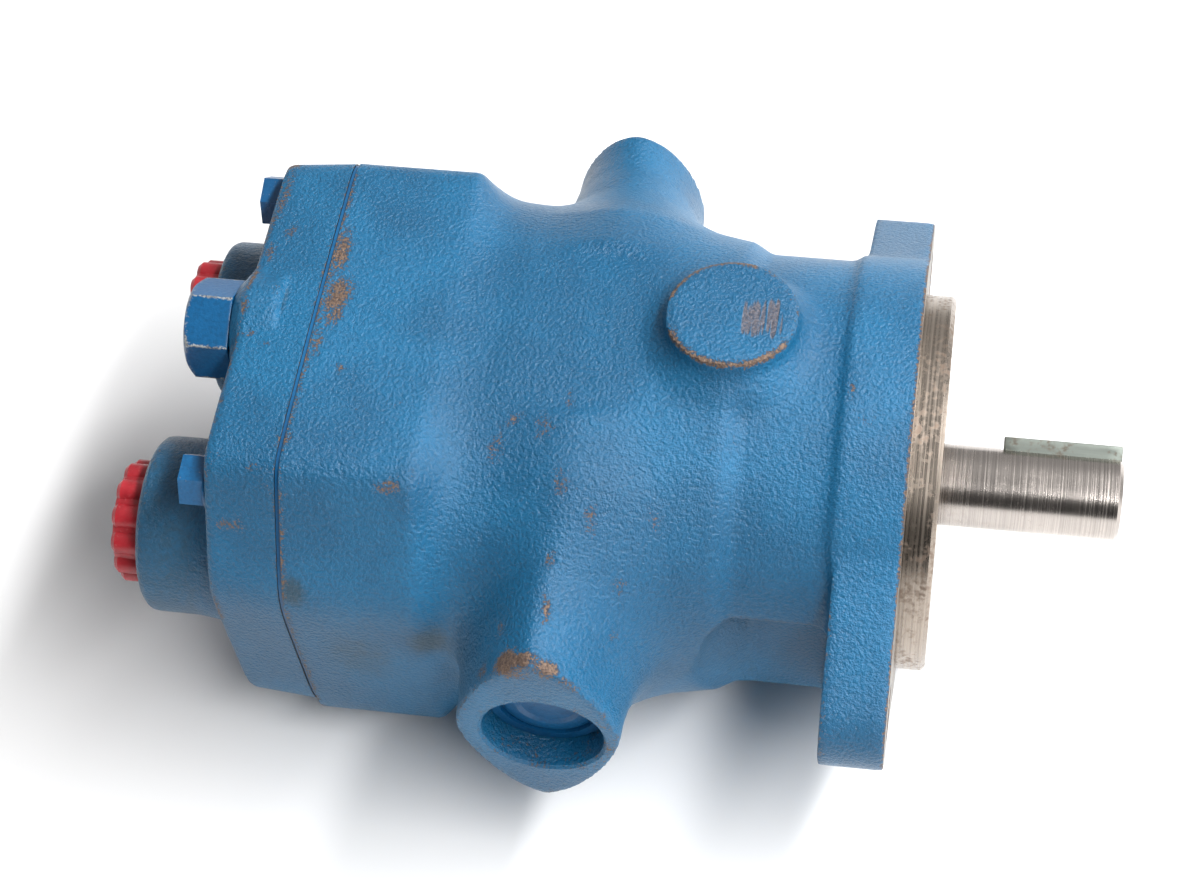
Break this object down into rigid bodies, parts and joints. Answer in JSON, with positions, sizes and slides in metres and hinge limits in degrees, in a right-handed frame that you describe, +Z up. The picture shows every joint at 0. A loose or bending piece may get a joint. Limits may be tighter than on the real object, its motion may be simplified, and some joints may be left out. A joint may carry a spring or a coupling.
{
  "type": "axial piston pump",
  "caption": "Blue cast-iron variable axial piston pump with a two-bolt pilot flange, keyed straight shaft, side pintle bosses and plugged rear ports.",
  "frame": {"origin": "centre of the drive shaft's end face", "axes": "+X out of the shaft end along the shaft's axis, +Z up through the round pad on the housing, Y along the pintle axis that the yoke tilts about"},
  "size_m": [0.2668, 0.1804, 0.1278],
  "materials": {
    "blue_paint": "semi-gloss enamel over sand-cast iron, with rusty scuffs on the edges",
    "ground_steel": "bare turned and ground steel",
    "dark_steel": "oiled hardened steel",
    "zinc_steel": "dull drawn key steel",
    "bronze": "machined bearing bronze",
    "seal_rubber": "matt nitrile rubber",
    "gasket_paper": "matt compressed-fibre gasket sheet",
    "red_plastic": "satin moulded polyethylene"
  },
  "bodies": {
    "casing": {"housing": "blue_paint", "valve_block": "blue_paint", "housing_gasket": "gasket_paper", "cover_bolt_1": "blue_paint", "cover_bolt_2": "blue_paint", "cover_bolt_3": "blue_paint", "cover_bolt_4": "blue_paint", "compensator_cap": "blue_paint", "compensator_spring": "dark_steel", "shaft_seal": "seal_rubber", "front_bearing_outer_ring": "ground_steel", "front_bearing_snap_ring": "dark_steel", "rear_bearing": "ground_steel", "valve_plate": "ground_steel", "pintle_bearing_near": "dark_steel", "pintle_bearing_far": "dark_steel", "pintle_plug_near": "blue_paint", "pintle_plug_far": "blue_paint", "pintle_snap_ring_near": "dark_steel", "pintle_snap_ring_far": "dark_steel", "control_piston_sleeve": "dark_steel", "yoke_spring": "dark_steel"},
    "shaft_assembly": {"drive_shaft": "ground_steel", "shaft_key": "zinc_steel", "front_bearing_inner_ring": "ground_steel", "front_bearing_balls": "dark_steel", "cylinder_block": "dark_steel", "spherical_washer": "bronze", "block_spring": "dark_steel"},
    "yoke_assembly": {"yoke": "dark_steel", "swash_plate": "ground_steel", "pintle_near": "ground_steel", "pintle_far": "ground_steel"},
    "shoe_retainer": {"shoe_retainer_plate": "dark_steel"},
    "control_piston": {"control_piston": "ground_steel"},
    "compensator_spool": {"compensator_spool": "ground_steel"},
    "port_plug_near": {"port_plug_near": "red_plastic"},
    "port_plug_far": {"port_plug_far": "red_plastic"},
    "piston_shoe_1": {"piston_shoe_1": "bronze"},
    "piston_1": {"piston_1": "ground_steel"},
    "piston_shoe_2": {"piston_shoe_2": "bronze"},
    "piston_2": {"piston_2": "ground_steel"},
    "piston_shoe_3": {"piston_shoe_3": "bronze"},
    "piston_3": {"piston_3": "ground_steel"},
    "piston_shoe_4": {"piston_shoe_4": "bronze"},
    "piston_4": {"piston_4": "ground_steel"},
    "piston_shoe_5": {"piston_shoe_5": "bronze"},
    "piston_5": {"piston_5": "ground_steel"},
    "piston_shoe_6": {"piston_shoe_6": "bronze"},
    "piston_6": {"piston_6": "ground_steel"},
    "piston_shoe_7": {"piston_shoe_7": "bronze"},
    "piston_7": {"piston_7": "ground_steel"},
    "piston_shoe_8": {"piston_shoe_8": "bronze"},
    "piston_8": {"piston_8": "ground_steel"},
    "piston_shoe_9": {"piston_shoe_9": "bronze"},
    "piston_9": {"piston_9": "ground_steel"}
  },
  "joints": [
    {"name": "shaft_spin", "type": "hinge", "parent": "casing", "child": "shaft_assembly", "pos_m": [0, 0, 0], "axis": [1, 0, 0], "continuous": true},
    {"name": "yoke_tilt", "type": "hinge", "parent": "casing", "child": "yoke_assembly", "pos_m": [-0.1432, 0, 0], "axis": [0, 1, 0], "range_deg": [-17.5, 0], "stiffness_Nm_per_rad": 4, "springref_deg": 34.38, "deforming": ["yoke_spring"]},
    {"name": "retainer_spin", "type": "hinge", "parent": "yoke_assembly", "child": "shoe_retainer", "pos_m": [-0.1432, 0, 0], "axis": [0.9537, 0, -0.3007], "continuous": true},
    {"name": "control_piston_slide", "type": "slide", "parent": "casing", "child": "control_piston", "axis": [1, 0, 0], "range_m": [0, 0.0136]},
    {"name": "compensator_spool_slide", "type": "slide", "parent": "casing", "child": "compensator_spool", "axis": [-1, 0, 0], "range_m": [0, 0.0025], "stiffness_N_per_m": 6000, "springref_m": -0.004, "deforming": ["compensator_spring"]},
    {"name": "port_plug_near_pull", "type": "slide", "parent": "casing", "child": "port_plug_near", "axis": [-1, 0, 0], "range_m": [0, 0.016]},
    {"name": "port_plug_far_pull", "type": "slide", "parent": "casing", "child": "port_plug_far", "axis": [-1, 0, 0], "range_m": [0, 0.016]},
    {"name": "shoe_1_spin", "type": "hinge", "parent": "shoe_retainer", "child": "piston_shoe_1", "pos_m": [-0.1432, 0.02711, 0], "axis": [0.9537, 0, -0.3007], "continuous": true},
    {"name": "piston_1_ball", "type": "hinge", "parent": "piston_shoe_1", "child": "piston_1", "pos_m": [-0.1432, 0.02711, 0], "axis": [0, 1, 0], "range_deg": [0, 17.5]},
    {"name": "shoe_2_spin", "type": "hinge", "parent": "shoe_retainer", "child": "piston_shoe_2", "pos_m": [-0.13796, 0.02077, 0.01662], "axis": [0.9537, 0, -0.3007], "continuous": true},
    {"name": "piston_2_ball", "type": "hinge", "parent": "piston_shoe_2", "child": "piston_2", "pos_m": [-0.13796, 0.02077, 0.01662], "axis": [0, 1, 0], "range_deg": [0, 17.5]},
    {"name": "shoe_3_spin", "type": "hinge", "parent": "shoe_retainer", "child": "piston_shoe_3", "pos_m": [-0.13517, 0.00471, 0.02547], "axis": [0.9537, 0, -0.3007], "continuous": true},
    {"name": "piston_3_ball", "type": "hinge", "parent": "piston_shoe_3", "child": "piston_3", "pos_m": [-0.13517, 0.00471, 0.02547], "axis": [0, 1, 0], "range_deg": [0, 17.5]},
    {"name": "shoe_4_spin", "type": "hinge", "parent": "shoe_retainer", "child": "piston_shoe_4", "pos_m": [-0.13614, -0.01356, 0.02239], "axis": [0.9537, 0, -0.3007], "continuous": true},
    {"name": "piston_4_ball", "type": "hinge", "parent": "piston_shoe_4", "child": "piston_4", "pos_m": [-0.13614, -0.01356, 0.02239], "axis": [0, 1, 0], "range_deg": [0, 17.5]},
    {"name": "shoe_5_spin", "type": "hinge", "parent": "shoe_retainer", "child": "piston_shoe_5", "pos_m": [-0.14041, -0.02548, 0.00884], "axis": [0.9537, 0, -0.3007], "continuous": true},
    {"name": "piston_5_ball", "type": "hinge", "parent": "piston_shoe_5", "child": "piston_5", "pos_m": [-0.14041, -0.02548, 0.00884], "axis": [0, 1, 0], "range_deg": [0, 17.5]},
    {"name": "shoe_6_spin", "type": "hinge", "parent": "shoe_retainer", "child": "piston_shoe_6", "pos_m": [-0.14599, -0.02548, -0.00884], "axis": [0.9537, 0, -0.3007], "continuous": true},
    {"name": "piston_6_ball", "type": "hinge", "parent": "piston_shoe_6", "child": "piston_6", "pos_m": [-0.14599, -0.02548, -0.00884], "axis": [0, 1, 0], "range_deg": [0, 17.5]},
    {"name": "shoe_7_spin", "type": "hinge", "parent": "shoe_retainer", "child": "piston_shoe_7", "pos_m": [-0.15026, -0.01356, -0.02239], "axis": [0.9537, 0, -0.3007], "continuous": true},
    {"name": "piston_7_ball", "type": "hinge", "parent": "piston_shoe_7", "child": "piston_7", "pos_m": [-0.15026, -0.01356, -0.02239], "axis": [0, 1, 0], "range_deg": [0, 17.5]},
    {"name": "shoe_8_spin", "type": "hinge", "parent": "shoe_retainer", "child": "piston_shoe_8", "pos_m": [-0.15123, 0.00471, -0.02547], "axis": [0.9537, 0, -0.3007], "continuous": true},
    {"name": "piston_8_ball", "type": "hinge", "parent": "piston_shoe_8", "child": "piston_8", "pos_m": [-0.15123, 0.00471, -0.02547], "axis": [0, 1, 0], "range_deg": [0, 17.5]},
    {"name": "shoe_9_spin", "type": "hinge", "parent": "shoe_retainer", "child": "piston_shoe_9", "pos_m": [-0.14844, 0.02077, -0.01662], "axis": [0.9537, 0, -0.3007], "continuous": true},
    {"name": "piston_9_ball", "type": "hinge", "parent": "piston_shoe_9", "child": "piston_9", "pos_m": [-0.14844, 0.02077, -0.01662], "axis": [0, 1, 0], "range_deg": [0, 17.5]}
  ],
  "couplings": [
    {"joint": "retainer_spin", "follows": "shaft_spin", "ratio": 1},
    {"joint": "control_piston_slide", "follows": "yoke_tilt", "m_per_rad": -0.0439},
    {"joint": "shoe_1_spin", "follows": "shaft_spin", "ratio": -1},
    {"joint": "piston_1_ball", "follows": "yoke_tilt", "ratio": -1},
    {"joint": "shoe_2_spin", "follows": "shaft_spin", "ratio": -1},
    {"joint": "piston_2_ball", "follows": "yoke_tilt", "ratio": -1},
    {"joint": "shoe_3_spin", "follows": "shaft_spin", "ratio": -1},
    {"joint": "piston_3_ball", "follows": "yoke_tilt", "ratio": -1},
    {"joint": "shoe_4_spin", "follows": "shaft_spin", "ratio": -1},
    {"joint": "piston_4_ball", "follows": "yoke_tilt", "ratio": -1},
    {"joint": "shoe_5_spin", "follows": "shaft_spin", "ratio": -1},
    {"joint": "piston_5_ball", "follows": "yoke_tilt", "ratio": -1},
    {"joint": "shoe_6_spin", "follows": "shaft_spin", "ratio": -1},
    {"joint": "piston_6_ball", "follows": "yoke_tilt", "ratio": -1},
    {"joint": "shoe_7_spin", "follows": "shaft_spin", "ratio": -1},
    {"joint": "piston_7_ball", "follows": "yoke_tilt", "ratio": -1},
    {"joint": "shoe_8_spin", "follows": "shaft_spin", "ratio": -1},
    {"joint": "piston_8_ball", "follows": "yoke_tilt", "ratio": -1},
    {"joint": "shoe_9_spin", "follows": "shaft_spin", "ratio": -1},
    {"joint": "piston_9_ball", "follows": "yoke_tilt", "ratio": -1}
  ]
}
